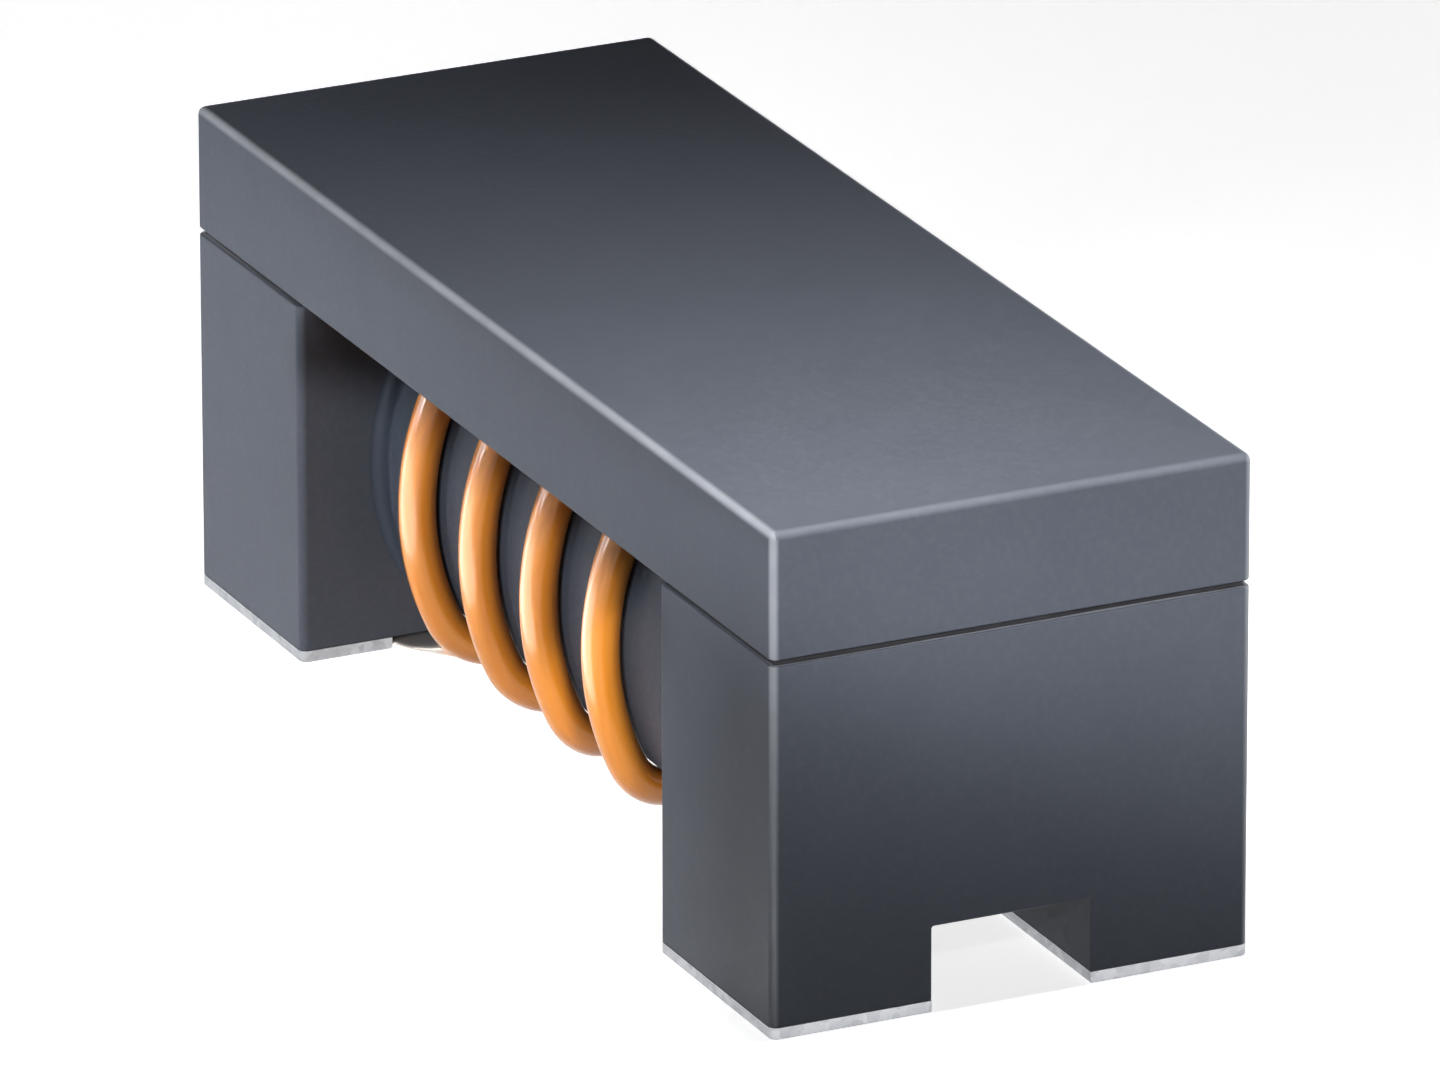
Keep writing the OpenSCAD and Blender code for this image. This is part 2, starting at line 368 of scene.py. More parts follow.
def mark_worn_and_highlit_edges(mesh, core, top, radius):
    """Stores how worn and highlit each point is, a painted highlight that partly stands for wear: most in the
    middle of a rounded edge of the outside, up to its top.
    """
    low = (-core.part_length / 2, -core.part_width / 2, FAR_BELOW)
    high = (core.part_length / 2, core.part_width / 2, top)
    worn_and_highlit = mesh.attributes.new("worn_and_highlit", "FLOAT", "POINT")
    for i, vertex in enumerate(mesh.vertices):
        inside = [min(vertex.co[k] - low[k], high[k] - vertex.co[k]) for k in range(3)]
        first, second, _ = sorted(inside)
        wear_and_highlight = EDGE_WEAR_AND_HIGHLIGHT[inside.index(max(inside))]
        worn_and_highlit.data[i].value = wear_and_highlight * max(0.0, 1 - (second - first) / radius) if second < radius else 0.0


def mark_painted_bar_shade(mesh, reach):
    """Marks the points within a reach of the middle of the part's length, the bar between the flanges, for
    painted shade.
    """
    painted_bar_shade = mesh.attributes.new("painted_bar_shade", "FLOAT", "POINT")
    painted_bar_shade.data.foreach_set("value", [float(abs(v.co.x) < reach) for v in mesh.vertices])


def dress(piece, node, material=None):
    """Brings a piece to metres, gives it its material and puts it in the place of its CAD node."""
    piece.data.transform(Matrix.Scale(MM, 4))
    if material:
        piece.data.materials.clear()
        piece.data.materials.append(material)
    if not piece.data.materials or not piece.data.polygons:
        raise RuntimeError(f"{piece.name} has no material or no faces")
    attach(piece, "root")
    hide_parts(node)


# Materials


def empty_tree(owner):
    """The node tree of a material or a world, with nothing in it."""
    owner.use_nodes = True
    owner.node_tree.nodes.clear()
    return owner.node_tree


def new_material(name):
    """A material with its node tree and its surface shader."""
    material = bpy.data.materials.new(name)
    tree = empty_tree(material)
    output = tree.nodes.new("ShaderNodeOutputMaterial")
    surface = tree.nodes.new("ShaderNodeBsdfPrincipled")
    tree.links.new(surface.outputs["BSDF"], output.inputs["Surface"])
    return material, tree, surface


def set_inputs(node, values):
    """Sets a node's inputs to plain values."""
    for key, value in values.items():
        node.inputs[key].default_value = value


def add_node(tree, kind, links=None, values=None, **settings):
    """Adds a node, sets its settings and input values, and links its inputs to other nodes' outputs."""
    node = tree.nodes.new(kind)
    for key, value in settings.items():
        setattr(node, key, value)
    set_inputs(node, values or {})
    for key, output in (links or {}).items():
        tree.links.new(output, node.inputs[key])
    return node


def noise(tree, place, scale, detail=3.0, roughness=0.55):
    """Noise on a coordinate, as a number."""
    node = add_node(
        tree,
        "ShaderNodeTexNoise",
        links={"Vector": place},
        values={"Scale": scale, "Detail": detail, "Roughness": roughness},
    )
    return node.outputs["Fac"]


def spread(tree, value, low, high, from_low=0.0, from_high=1.0):
    """Maps a number from one range to another, held at the ends."""
    node = add_node(
        tree,
        "ShaderNodeMapRange",
        links={"Value": value},
        values={"From Min": from_low, "From Max": from_high, "To Min": low, "To Max": high},
    )
    return node.outputs["Result"]


def blend(tree, share, first, second):
    """Mixes two colours, each a colour or another node's output."""
    node = tree.nodes.new("ShaderNodeMix")
    node.data_type = "RGBA"
    sockets = [s for s in node.inputs if s.type == "RGBA"]
    for socket, value in zip(sockets, (first, second)):
        if isinstance(value, bpy.types.NodeSocket):
            tree.links.new(value, socket)
        else:
            socket.default_value = (*value, 1.0)
    tree.links.new(share, node.inputs["Factor"])
    return next(s for s in node.outputs if s.type == "RGBA")


def calculate(tree, operation, first, second):
    """The result of an operation on two numbers, the second a plain one or another node's output."""
    node = add_node(tree, "ShaderNodeMath", links={0: first}, operation=operation)
    if isinstance(second, bpy.types.NodeSocket):
        tree.links.new(second, node.inputs[1])
    else:
        node.inputs[1].default_value = second
    return node.outputs["Value"]


def relief(tree, surface, height, depth):
    """Adds a fine relief of a depth in metres to a surface."""
    bump = add_node(
        tree,
        "ShaderNodeBump",
        links={"Height": height},
        values={"Strength": 1.0, "Distance": depth},
    )
    tree.links.new(bump.outputs["Normal"], surface.inputs["Normal"])


def ferrite_material(finish):
    """Fired ferrite: dark grey, fine grained and satin, with pale edges that are partly wear and partly
    painted highlight, and painted shade on the bar.
    """
    material, tree, surface = new_material("Fired ferrite")
    place = tree.nodes.new("ShaderNodeTexCoord").outputs["Object"]
    patches = noise(tree, place, FERRITE_PATCHES, detail=4.0)
    grain = noise(tree, place, FERRITE_GRAIN, detail=2.0, roughness=0.7)
    worn_and_highlit = add_node(tree, "ShaderNodeAttribute", attribute_name="worn_and_highlit").outputs["Fac"]
    body = blend(tree, spread(tree, patches, 0.25, 0.85, 0.3, 0.7), finish.ferrite_shade, finish.ferrite)
    speckled = blend(tree, spread(tree, grain, 0.0, 0.045, 0.45, 0.75), body, finish.ferrite_edge)
    # Pale edges: partly wear, partly painted highlight
    rubbed_and_highlit = spread(tree, worn_and_highlit, 0.0, 0.9, 0.0, 0.6)
    polish_and_highlight = calculate(tree, "MULTIPLY", rubbed_and_highlit, spread(tree, patches, 0.75, 1.0, 0.3, 0.6))
    polished_and_highlit = blend(tree, polish_and_highlight, speckled, finish.ferrite_edge)
    # Painted shade: the bar between the flanges takes a darker colour
    painted_bar_shade = add_node(tree, "ShaderNodeAttribute", attribute_name="painted_bar_shade").outputs["Fac"]
    tree.links.new(blend(tree, painted_bar_shade, polished_and_highlit, finish.ferrite_bar), surface.inputs["Base Color"])
    tree.links.new(spread(tree, grain, 0.40, 0.56, 0.25, 0.75), surface.inputs["Roughness"])
    relief(tree, surface, grain, FERRITE_RELIEF)
    set_inputs(surface, {"Specular IOR Level": 0.24, "Specular Tint": (0.80, 0.89, 1.0, 1.0)})
    return material


def adhesive_material(finish):
    """Cured adhesive: nearly black resin with an uneven gloss."""
    material, tree, surface = new_material("Cured adhesive")
    place = tree.nodes.new("ShaderNodeTexCoord").outputs["Object"]
    cloud = noise(tree, place, ADHESIVE_CLOUD)
    paler = tuple(ADHESIVE_PALER * c for c in finish.adhesive)
    tree.links.new(blend(tree, cloud, finish.adhesive, paler), surface.inputs["Base Color"])
    tree.links.new(spread(tree, cloud, 0.32, 0.6), surface.inputs["Roughness"])
    relief(tree, surface, cloud, ADHESIVE_RELIEF)
    return material


def wire_material(finish):
    """Copper wire under glossy enamel, bare and tinned where it was pressed flat."""
    material, tree, surface = new_material("Enamelled copper")
    along = add_node(tree, "ShaderNodeAttribute", attribute_name="along").outputs["Fac"]
    section = add_node(tree, "ShaderNodeAttribute", attribute_name="section").outputs["Vector"]
    runs = add_node(tree, "ShaderNodeCombineXYZ", links={"X": along, "Y": along, "Z": along})
    drawn = add_node(
        tree,
        "ShaderNodeVectorMath",
        links={0: section, 2: runs.outputs["Vector"]},
        values={1: WIRE_ACROSS},
        operation="MULTIPLY_ADD",
    )
    place = drawn.outputs["Vector"]
    streaks = noise(tree, place, WIRE_STREAKS, detail=4.0)
    specks = noise(tree, place, WIRE_SPECKS, detail=2.0)
    round_part = add_node(tree, "ShaderNodeAttribute", attribute_name="round").outputs["Fac"]
    enamelled = spread(tree, round_part, 0.0, 1.0, 0.25, 0.6)
    enamel = blend(tree, spread(tree, streaks, 0.0, 1.0, 0.3, 0.7), finish.enamel_shade, finish.enamel)
    bare = blend(tree, spread(tree, specks, 0.0, 1.0, 0.3, 0.7), finish.tin, finish.bare_wire)
    tree.links.new(blend(tree, enamelled, bare, enamel), surface.inputs["Base Color"])
    tree.links.new(spread(tree, enamelled, 1.0, 0.0), surface.inputs["Metallic"])
    tree.links.new(spread(tree, specks, 0.42, 0.50, 0.3, 0.7), surface.inputs["Roughness"])
    relief(tree, surface, specks, WIRE_RELIEF)
    set_inputs(surface, {"Specular IOR Level": 0.25, "Coat Weight": 1.0, "Coat Roughness": 0.2})
    return material


def tin_material(finish):
    """Matt tin plating with fine crystals."""
    material, tree, surface = new_material("Tin plating")
    place = tree.nodes.new("ShaderNodeTexCoord").outputs["Object"]
    crystals = add_node(
        tree, "ShaderNodeTexVoronoi", links={"Vector": place}, values={"Scale": TIN_CRYSTALS}
    ).outputs["Color"]
    grain = noise(tree, place, TIN_GRAIN)
    dullness = add_node(tree, "ShaderNodeSeparateColor", links={"Color": crystals}).outputs["Red"]
    tree.links.new(blend(tree, dullness, finish.tin_shade, finish.tin), surface.inputs["Base Color"])
    tree.links.new(spread(tree, grain, 0.30, 0.46, 0.3, 0.7), surface.inputs["Roughness"])
    relief(tree, surface, grain, TIN_RELIEF)
    set_inputs(surface, {"Metallic": 1.0})
    return material


# Drum core


def bar_section(core):
    """Measures of the bar's section: two bowed flanks, a flat top and bottom, and four round edges."""
    half_height = (core.bar_top - core.bar_bottom) / 2
    flank_radius = (half_height**2 + core.bar_bow**2) / (2 * core.bar_bow)
    flank_offset = flank_radius - core.bar_half_width
    corner_z = half_height - core.bar_edge_radius
    inner_radius = flank_radius - core.bar_edge_radius
    flank_angle = math.asin(corner_z / inner_radius)
    return SimpleNamespace(
        middle=(core.bar_top + core.bar_bottom) / 2,
        flank_radius=flank_radius,
        flank_offset=flank_offset,
        flank_angle=flank_angle,
        corner_y=inner_radius * math.cos(flank_angle) - flank_offset,
        corner_z=corner_z,
        edge_radius=core.bar_edge_radius,
    )


def flank_line(bar, out):
    """The -Y flank from its foot up, at a distance outside the bar."""
    turn = bar.flank_angle
    return arc((bar.flank_offset, 0), bar.flank_radius + out, math.pi + turn, math.pi - turn, FLANK_STEPS)


def edge_line(bar, out):
    """The round edge above the -Y flank, at a distance outside the bar."""
    centre = (-bar.corner_y, bar.corner_z)
    return arc(centre, bar.edge_radius + out, math.pi - bar.flank_angle, math.pi / 2, EDGE_STEPS)


def bar_mesh(core):
    """The bar, with flanks that run out into the flanges."""
    bar = bar_section(core)
    edge = edge_line(bar, 0)
    half = flank_line(bar, 0) + edge[1:] + [(-y, z) for y, z in reversed(edge[1:])]
    section = half + [(-y, -z) for y, z in half]
    end = core.part_length / 2
    inner = end - core.flange_length
    quarter = [math.pi / 2 * (1 - i / FILLET_STEPS) for i in range(FILLET_STEPS + 1)]
    run_out = [(end - core.flange_length / 2, core.bar_fillet)] + [
        (inner - core.bar_fillet * (1 - math.sin(a)), core.bar_fillet * (1 - math.cos(a))) for a in quarter
    ]
    stations = run_out + [(-x, swell) for x, swell in reversed(run_out)]
    rings = []
    for x, swell in stations:
        widened = 1 + swell / core.bar_half_width
        rings.append([(x, y * widened, bar.middle + z) for y, z in section])
    return mesh_from(loft(rings), "bar")


def flange_mesh(core, end):
    """An end flange with two feet, drawn from the end of the part and drawn out along it."""
    half = core.part_width / 2
    notch = half - core.foot_width
    roof = core.foot_face + core.notch_height
    radius = core.notch_radius
    right = arc((notch - radius, roof - radius), radius, 0, math.pi / 2, ROUND_STEPS)
    outline = [
        (-half, core.foot_face),
        (-half, core.flange_top),
        (half, core.flange_top),
        (half, core.foot_face),
        (notch, core.foot_face),
        *right,
        *((-y, z) for y, z in reversed(right)),
        (-notch, core.foot_face),
    ]
    outer = core.part_length / 2
    inner = outer - core.flange_length
    bm = loft([[(end * x, y, z) for y, z in outline] for x in (inner, outer)])
    bmesh.ops.recalc_face_normals(bm, faces=bm.faces)

    def is_outer_upright(edge):
        return is_upright(edge) and all(abs(abs(v.co.y) - half) < SAME_PLACE for v in edge.verts)

    round_edges(bm, is_outer_upright, core.edge_radius, ROUND_STEPS)
    round_edges(bm, is_crisp, core.edge_break, BREAK_STEPS)
    return mesh_from(bm, "flange")


class CHOKE_OT_drum_core(bpy.types.Operator):
    """Makes the ferrite core: a bowed bar between two flanges that stand on four feet"""

    bl_idname = "choke.drum_core"
    bl_label = "Drum Core"

    def execute(self, context):
        core = in_millimetres(context.scene.choke_core)
        piece = new_object("ferrite_core", bar_mesh(core))
        flanges = [new_object(f"flange_{end}", flange_mesh(core, end)) for end in (-1, 1)]
        for flange in flanges:
            union = piece.modifiers.new("Join flange", "BOOLEAN")
            union.operation = "UNION"
            union.solver = "EXACT"
            union.object = flange
        settle(piece)
        for flange in flanges:
            mesh = flange.data
            bpy.data.objects.remove(flange)
            bpy.data.meshes.remove(mesh)
        smooth(piece)
        mark_worn_and_highlit_edges(piece.data, core, FAR_ABOVE, core.edge_radius)
        # The bar between the flanges gets painted shade
        mark_painted_bar_shade(piece.data, core.part_length / 2 - core.flange_length - BAR_SHADE_MARGIN)
        dress(piece, "drum_core", ferrite_material(context.scene.choke_finish))
        return {"FINISHED"}


# Cover plate and adhesive


def plate_mesh(core, cover):
    """The cover plate, with round upper and upright edges and nearly sharp lower ones."""
    x, y = core.part_length / 2, core.part_width / 2
    bm = loft([[(i * x, j * y, z) for i, j in CORNERS] for z in (cover.bottom, cover.top)])
    bmesh.ops.recalc_face_normals(bm, faces=bm.faces)
    round_edges(bm, lambda e: not at_height(e, cover.bottom), cover.edge_radius, ROUND_STEPS)
    round_edges(bm, lambda e: at_height(e, cover.bottom), cover.edge_break, BREAK_STEPS)
    return mesh_from(bm, "plate")


def bond_outline(core, cover, extra):
    """Uneven outline of an adhesive layer round the middle of a flange, as x and y."""
    points = []
    x_reach = core.flange_length / 2 - cover.bond_inset - extra
    y_reach = core.part_width / 2 - cover.bond_inset - extra
    around = 4 * (x_reach + y_reach)
    for i in range(BOND_STEPS):
        share = i / BOND_STEPS
        travel = share * around
        wave = sum(size * math.sin(2 * math.pi * count * share + turn) for count, size, turn in BOND_WAVES)
        inward = cover.bond_wave * wave
        for (ax, ay), (bx, by) in zip(CORNERS, CORNERS[1:] + CORNERS[:1]):
            side = 2 * (x_reach if ax != bx else y_reach)
            if travel <= side:
                t = travel / side
                px, py = mix(ax, bx, t) * (x_reach - inward), mix(ay, by, t) * (y_reach - inward)
                points.append((px, py))
                break
            travel -= side
    return points


def bond_mesh(core, cover, end):
    """One adhesive layer, a little hollow between the flange and the plate."""
    middle = core.part_length / 2 - core.flange_length / 2
    rings = []
    for share, hollow in BOND_HOLLOW:
        z = mix(core.flange_top, cover.bottom, share)
        rings.append([(end * (middle + x), y, z) for x, y in bond_outline(core, cover, hollow)])
    return mesh_from(loft(rings), "bond")


class CHOKE_OT_cover(bpy.types.Operator):
    """Makes the cover plate and the two adhesive layers that hold it"""

    bl_idname = "choke.cover"
    bl_label = "Cover Plate"

    def execute(self, context):
        core = in_millimetres(context.scene.choke_core)
        cover = in_millimetres(context.scene.choke_cover)
        finish = context.scene.choke_finish
        plate = smooth(new_object("ferrite_cover", plate_mesh(core, cover)))
        mark_worn_and_highlit_edges(plate.data, core, cover.top, cover.edge_radius)
        ferrite = bpy.data.materials.get("Fired ferrite") or ferrite_material(finish)
        dress(plate, "cover_plate", ferrite)
        adhesive = adhesive_material(finish)
        for number, end in ((1, -1), (2, 1)):
            layer = smooth(new_object(f"adhesive_{number}", bond_mesh(core, cover, end)))
            dress(layer, f"cover_bond_{number}", adhesive)
        return {"FINISHED"}


# Windings


def lead_line(start, start_heading, finish, finish_heading):
    """A smooth lead that leaves and arrives along the given headings, without its two ends."""
    pull = LEAD_PULL * (finish - start).length
    b = start + pull * start_heading
    c = finish - pull * finish_heading
    line = []
    for i in range(1, LEAD_STEPS):
        t = i / LEAD_STEPS
        line.append((1 - t) ** 3 * start + 3 * t * (1 - t) ** 2 * b + 3 * t * t * (1 - t) * c + t**3 * finish)
    return line


def winding_path(core, wire):
    """Middle line of a winding, from its tail under the -X foot round the bar to that under the +X foot."""
    bar = bar_section(core)
    out = wire.diameter / 2 + wire.seat_gap
    flank = flank_line(bar, out)
    edge = edge_line(bar, out)
    half_turns = 2 * wire.turns

    edge_run = (bar.edge_radius + out) * (math.pi / 2 - bar.flank_angle)
    run = 2 * edge_run + 2 * bar.corner_y
    over = [(edge_run * i / EDGE_STEPS / run, *edge[i]) for i in range(1, EDGE_STEPS + 1)]
    for i in range(1, FLAT_STEPS):
        t = i / FLAT_STEPS
        share = (edge_run + 2 * bar.corner_y * t) / run
        over.append((share, mix(-bar.corner_y, bar.corner_y, t), edge[-1][1]))
    over += [(1 - edge_run * i / EDGE_STEPS / run, -edge[i][0], edge[i][1]) for i in range(EDGE_STEPS, 0, -1)]

    def turn_x(k):
        return (k - wire.turns) * wire.spacing

    def turn_side(k):
        return 1 if k % 2 == 0 else -1

    def up_flank(k):
        side = turn_side(k)
        return [Vector((turn_x(k), side * y, bar.middle + side * z)) for y, z in flank]

    def over_bar(k):
        side = turn_side(k)
        steps = [(turn_x(k) + wire.spacing * ease(share), y, z) for share, y, z in over]
        return [Vector((x, side * y, bar.middle + side * z)) for x, y, z in steps]

    def under_edge(k, side):
        return [Vector((turn_x(k), side * y, bar.middle - z)) for y, z in reversed(edge)]

    cos, sin = math.cos(wire.tail_angle), math.sin(wire.tail_angle)
    inner = core.part_length / 2 - core.flange_length

    def tail(end):
        root = Vector((end * inner, -wire.tail_root, wire.tail_height))
        return [root + wire.tail_length * Vector((end * cos, -sin, 0)), root]

    first, last = under_edge(0, 1), under_edge(half_turns - 1, -1)
    inward = Vector((0, -1, 0))
    path = tail(-1) + lead_line(tail(-1)[1], Vector((cos, sin, 0)), first[0], inward) + first[:-1]
    for k in range(half_turns - 1):
        path += up_flank(k) + over_bar(k)
    path += up_flank(half_turns - 1) + list(reversed(last[:-1]))
    path += lead_line(last[0], inward, tail(1)[1], Vector((cos, -sin, 0))) + list(reversed(tail(1)))
    return path


def path_mesh(path, wire):
    """A line of points along a wire, each with its place and how round the wire is there."""
    mesh = bpy.data.meshes.new("winding_path")
    mesh.from_pydata(path, [(i, i + 1) for i in range(len(path) - 1)], [])
    centre = mesh.attributes.new("centre", "FLOAT_VECTOR", "POINT")
    centre.data.foreach_set("vector", [c for point in path for c in point])
    roundness = mesh.attributes.new("round", "FLOAT", "POINT")
    climb = (wire.diameter - wire.tail_thickness) / 2
    roundness.data.foreach_set("value", [clamp((p.z - wire.tail_height) / climb, 0.0, 1.0) for p in path])
    return mesh


def wire_tree():
    """Node tree that draws a wire along a path and presses it flat where the path says so."""
    tree = bpy.data.node_groups.new("Wire along a path", "GeometryNodeTree")
    inputs = {
        "Path": "NodeSocketGeometry",
        "Diameter": "NodeSocketFloat",
        "Pressed Width": "NodeSocketFloat",
        "Pressed Thickness": "NodeSocketFloat",
        "Sides": "NodeSocketInt",
        "Finish": "NodeSocketMaterial",
    }
    for name, kind in inputs.items():
        tree.interface.new_socket(name, in_out="INPUT", socket_type=kind)
    tree.interface.new_socket("Wire", in_out="OUTPUT", socket_type="NodeSocketGeometry")
    given = tree.nodes.new("NodeGroupInput").outputs
    made = tree.nodes.new("NodeGroupOutput")

    def attribute(name, kind):
        return add_node(
            tree, "GeometryNodeInputNamedAttribute", values={"Name": name}, data_type=kind
        ).outputs["Attribute"]

    def store(geometry, name, kind, value):
        return add_node(
            tree,
            "GeometryNodeStoreNamedAttribute",
            links={"Geometry": geometry, "Value": value},
            values={"Name": name},
            data_type=kind,
            domain="POINT",
        ).outputs["Geometry"]

    def vector(operation, first, second):
        return add_node(
            tree, "ShaderNodeVectorMath", links={0: first, 1: second}, operation=operation
        ).outputs["Vector"]

    def three_of(x, y, z):
        return add_node(tree, "ShaderNodeCombineXYZ", links={"X": x, "Y": y, "Z": z}).outputs["Vector"]

    line = add_node(tree, "GeometryNodeMeshToCurve", links={"Mesh": given["Path"]}).outputs["Curve"]
    travelled = tree.nodes.new("GeometryNodeSplineParameter").outputs["Length"]
    line = store(line, "along", "FLOAT", travelled)
    radius = calculate(tree, "MULTIPLY", given["Diameter"], 0.5)
    ring = add_node(
        tree, "GeometryNodeCurvePrimitiveCircle", links={"Resolution": given["Sides"], "Radius": radius}
    ).outputs["Curve"]
    tube = add_node(
        tree,
        "GeometryNodeCurveToMesh",
        links={"Curve": line, "Profile Curve": ring},
        values={"Fill Caps": True},
    ).outputs["Mesh"]

    centre = attribute("centre", "FLOAT_VECTOR")
    roundness = attribute("round", "FLOAT")
    position = tree.nodes.new("GeometryNodeInputPosition").outputs["Position"]
    reach = vector("SUBTRACT", position, centre)
    whole = three_of(radius, radius, radius)
    tube = store(tube, "section", "FLOAT_VECTOR", vector("DIVIDE", reach, whole))

    def pressed(size):
        node = add_node(
            tree,
            "ShaderNodeMapRange",
            links={"Value": roundness, "To Min": calculate(tree, "DIVIDE", size, given["Diameter"])},
            values={"To Max": 1.0},
        )
        return node.outputs["Result"]

    wide = pressed(given["Pressed Width"])
    tall = pressed(given["Pressed Thickness"])
    place = vector("ADD", centre, vector("MULTIPLY", reach, three_of(wide, wide, tall)))
    shaped = add_node(
        tree, "GeometryNodeSetPosition", links={"Geometry": tube, "Position": place}
    ).outputs["Geometry"]
    realised = add_node(
        tree, "GeometryNodeRealizeInstances", links={"Geometry": shaped}
    ).outputs["Geometry"]
    finished = add_node(
        tree, "GeometryNodeSetMaterial", links={"Geometry": realised, "Material": given["Finish"]}
    ).outputs["Geometry"]
    tree.links.new(finished, made.inputs["Wire"])
    return tree


def wire_piece(name, path, wire, tree, material):
    """A wire as a plain mesh, made by the node tree along a path."""
    piece = new_object(name, path_mesh(path, wire))
    modifier = piece.modifiers.new("Wire", "NODES")
    modifier.node_group = tree
    sizes = {
        "Diameter": wire.diameter,
        "Pressed Width": wire.tail_width,
        "Pressed Thickness": wire.tail_thickness,
        "Sides": wire.sides,
        "Finish": material,
    }
    for item in tree.interface.items_tree:
        if item.in_out == "INPUT" and item.name in sizes:
            modifier[item.identifier] = sizes[item.name]
    settle(piece)
    shade(piece.data)
    piece.data.attributes.remove(piece.data.attributes["centre"])
    return piece


class CHOKE_OT_windings(bpy.types.Operator):
    """Makes the two windings of enamelled wire, one turned half round from the other"""

    bl_idname = "choke.windings"
    bl_label = "Windings"

    def execute(self, context):
        core = in_millimetres(context.scene.choke_core)
        wire = in_millimetres(context.scene.choke_winding)
        material = wire_material(context.scene.choke_finish)
        tree = wire_tree()
        path = winding_path(core, wire)
        for number, side in ((1, 1), (2, -1)):
            turned = [Vector((side * p.x, side * p.y, p.z)) for p in path]
            piece = wire_piece(f"wire_{number}", turned, wire, tree, material)
            dress(piece, f"winding_{number}")
        return {"FINISHED"}


# Terminals


def terminal_outline(core, wire, terminal):
    """Outline of the terminal at +X and +Y: the foot's own, open where the pressed wire lies."""
    outer, half = core.part_length / 2, core.part_width / 2
    inner, notch = outer - core.flange_length, half - core.foot_width
    radius = core.edge_radius
    cos, sin = math.cos(wire.tail_angle), math.sin(wire.tail_angle)
    slot_half = wire.tail_width / 2 + terminal.tail_gap
    reach = wire.tail_length + terminal.tail_gap

    def slot_wall(side):
        start = Vector((inner, wire.tail_root)) + side * slot_half * Vector((-sin, cos))
        tip = start + reach * Vector((cos, sin))
        return start + (inner - start.x) / cos * Vector((cos, sin)), tip

    (near_mouth, near_tip), (far_mouth, far_tip) = slot_wall(-1), slot_wall(1)
    return [
        (inner, notch),
        (outer, notch),
        *arc((outer - radius, half - radius), radius, 0, math.pi / 2, ROUND_STEPS),
        *arc((inner + radius, half - radius), radius, math.pi / 2, math.pi, ROUND_STEPS),
        tuple(far_mouth),
        tuple(far_tip),
        tuple(near_tip),
        tuple(near_mouth),
    ]


class CHOKE_OT_terminals(bpy.types.Operator):
    """Makes the four tinned terminals, each open where a wire is pressed into it"""

    bl_idname = "choke.terminals"
    bl_label = "Terminals"

    def execute(self, context):
        core = in_millimetres(context.scene.choke_core)
        wire = in_millimetres(context.scene.choke_winding)
        terminal = in_millimetres(context.scene.choke_terminal)
        material = tin_material(context.scene.choke_finish)
        outline = terminal_outline(core, wire, terminal)
        for number, (end, side) in enumerate(CORNERS, start=1):
            rings = [[(end * x, side * y, z) for x, y in outline] for z in (0.0, terminal.thickness)]
            bm = loft(rings)
            bmesh.ops.recalc_face_normals(bm, faces=bm.faces)
            round_edges(bm, lambda e: at_height(e, 0.0), terminal.lower_edge, ROUND_STEPS)
            piece = smooth(new_object(f"tinned_foot_{number}", mesh_from(bm, "tinned_foot")))
            dress(piece, f"terminal_{number}", material)
        return {"FINISHED"}


# Stage

# Width of the camera's sensor in millimetres, and the nearest and farthest that it sees in metres
SENSOR_WIDTH = 36.0
CLIP_NEAR, CLIP_FAR = 1 * MM, 1.0

# How far the floor lies below the terminals, so that their faces don't meet
FLOOR_DROP = 0.002 * MM

# Shades and glow of the studio cards
BLACK_SHADE, LIGHT_SHADE, LIGHT_GLOW = 0.01, 0.8, 7.0

# Black card behind the part: its gap to the far end, half width and height in millimetres
SHEEN_GAP, SHEEN_REACH, SHEEN_HEIGHT = 1.6, 6.0, 3.4

# Corners in millimetres of the light cards on the floor, mirrored by the wires and by the ferrite
STRIPE_CARD = ((-1.3, -1.0, 0.01), (0.55, -1.0, 0.01), (1.2, -12, 0.01), (-12, -8, 0.01))
GLINT_CARD = ((1.65, -0.62, 0.01), (2.1, -0.72, 0.01), (3.2, -3.0, 0.01), (2.5, -3.3, 0.01))

# Upright flags in front of the part, as their place along Y and their ends along X and Z in millimetres
NEAR_END_FLAG = (-2, 1.9, 5, 0, 1.5)
COVER_FLAG = (-2, -2.6, 3.5, 1.77, 2.8)

# Corners in millimetres of the flag under the cover's edge
EAVE_FLAG = ((-0.98, -0.6, 0.91), (0.98, -0.6, 0.91), (1.3, -1.05, 0.91), (-0.72, -1.05, 0.91))

# Kinds of ray that can be kept from an object
RAY_KINDS = ("camera", "diffuse", "glossy", "transmission", "volume_scatter", "shadow")

# Lamps as name, place, aim, width, height, power and, where a grid narrows them, spread in degrees.
# Places and sizes are in millimetres, and powers in watts.
LAMPS = (
    ("front", (12, -19, 8), (0, 0, 0.6), 8, 4, 0.0037),
    ("far_left", (-6, -21, 6), (-2.4, -0.6, 2.2), 2.2, 4, 0.000043, 20),
    ("left", (-8, -9, 2), (-1, -0.6, 0.6), 2, 3, 0.00014),
    ("over_cover", (1.55, 0, 8), (1.55, -0.5, 1.2), 0.6, 1.2, 0.0000365, 49),
    ("near_end", (7.2, -1.5, 4), (1.8, 0.5, 1.2), 2.8, 0.6, 0.0000112, 16),
    ("right", (-1, 21, 1), (0, 0, 0.6), 4, 1.8, 0.0020),
    ("back", (-20, 6, 0.6), (0, 0, 0.6), 10, 1.0, 0.0014),
)


